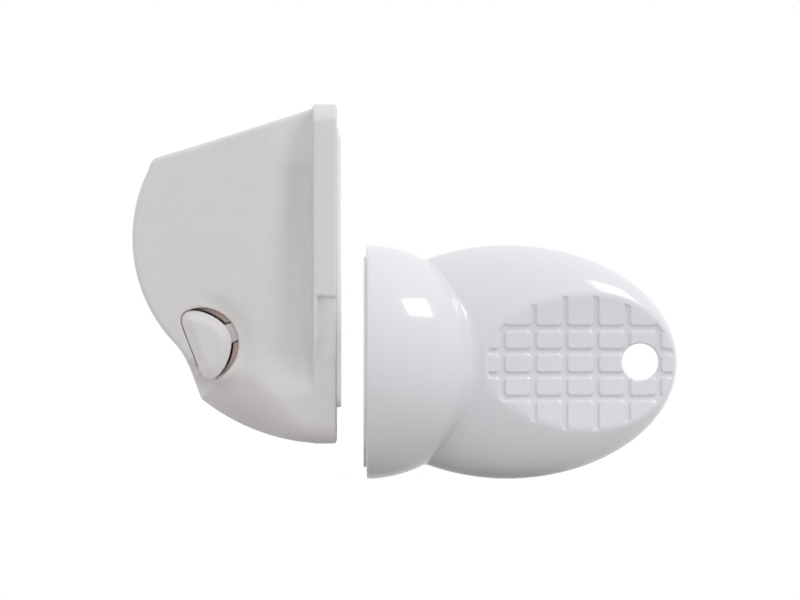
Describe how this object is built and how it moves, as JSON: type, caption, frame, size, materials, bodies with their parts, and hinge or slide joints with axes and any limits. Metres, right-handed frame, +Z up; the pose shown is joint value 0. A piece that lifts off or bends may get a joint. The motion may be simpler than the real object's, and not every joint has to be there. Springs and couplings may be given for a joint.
{
  "type": "cabinet safety lock",
  "caption": "Magnetic safety lock for a cabinet door: a case with a sprung hook lever and a release button, and a domed magnet key with a grip.",
  "frame": {"origin": "on the adhesive pad's outer face, where it meets the inside of the cabinet door, level with the middle of the case and in its middle plane", "axes": "+X from the lock through the door to the key, +Z up along the case, +Y across the case"},
  "size_m": [0.1182, 0.0508, 0.0813],
  "materials": {
    "case_plastic": "satin",
    "key_plastic": "gloss",
    "pad_foam": "matt",
    "steel": "brushed",
    "magnet": "nickel plated"
  },
  "bodies": {
    "lock": {"lock_housing": "case_plastic", "mounting_plate": "case_plastic", "adhesive_pad": "pad_foam", "case_screws": "steel", "pivot_pin": "steel", "pin_clip": "steel", "button_pin": "steel"},
    "latch": {"latch_lever": "case_plastic", "lever_magnet": "magnet", "magnet_cap": "case_plastic", "lever_spring": "steel"},
    "button": {"release_button": "case_plastic", "button_spring": "steel"},
    "key": {"key_front_shell": "key_plastic", "key_back_shell": "key_plastic", "key_magnet": "magnet", "magnet_cup": "steel", "magnet_sleeve": "key_plastic", "face_cap": "key_plastic", "face_pad": "pad_foam"}
  },
  "joints": [
    {"name": "latch_swing", "type": "hinge", "parent": "lock", "child": "latch", "pos_m": [-0.0122, 0, 0.0078], "axis": [0, -1, 0], "range_deg": [0, 10], "stiffness_Nm_per_rad": 0.05, "springref_deg": -17.19},
    {"name": "button_press", "type": "hinge", "parent": "lock", "child": "button", "pos_m": [-0.0311, -0.0133, -0.01563], "axis": [-0.368, 0, 0.9298], "range_deg": [0, 12], "stiffness_Nm_per_rad": 0.02, "springref_deg": -11.46},
    {"name": "key_pull", "type": "slide", "parent": "lock", "child": "key", "axis": [1, 0, 0], "range_m": [0, 0.06]}
  ]
}
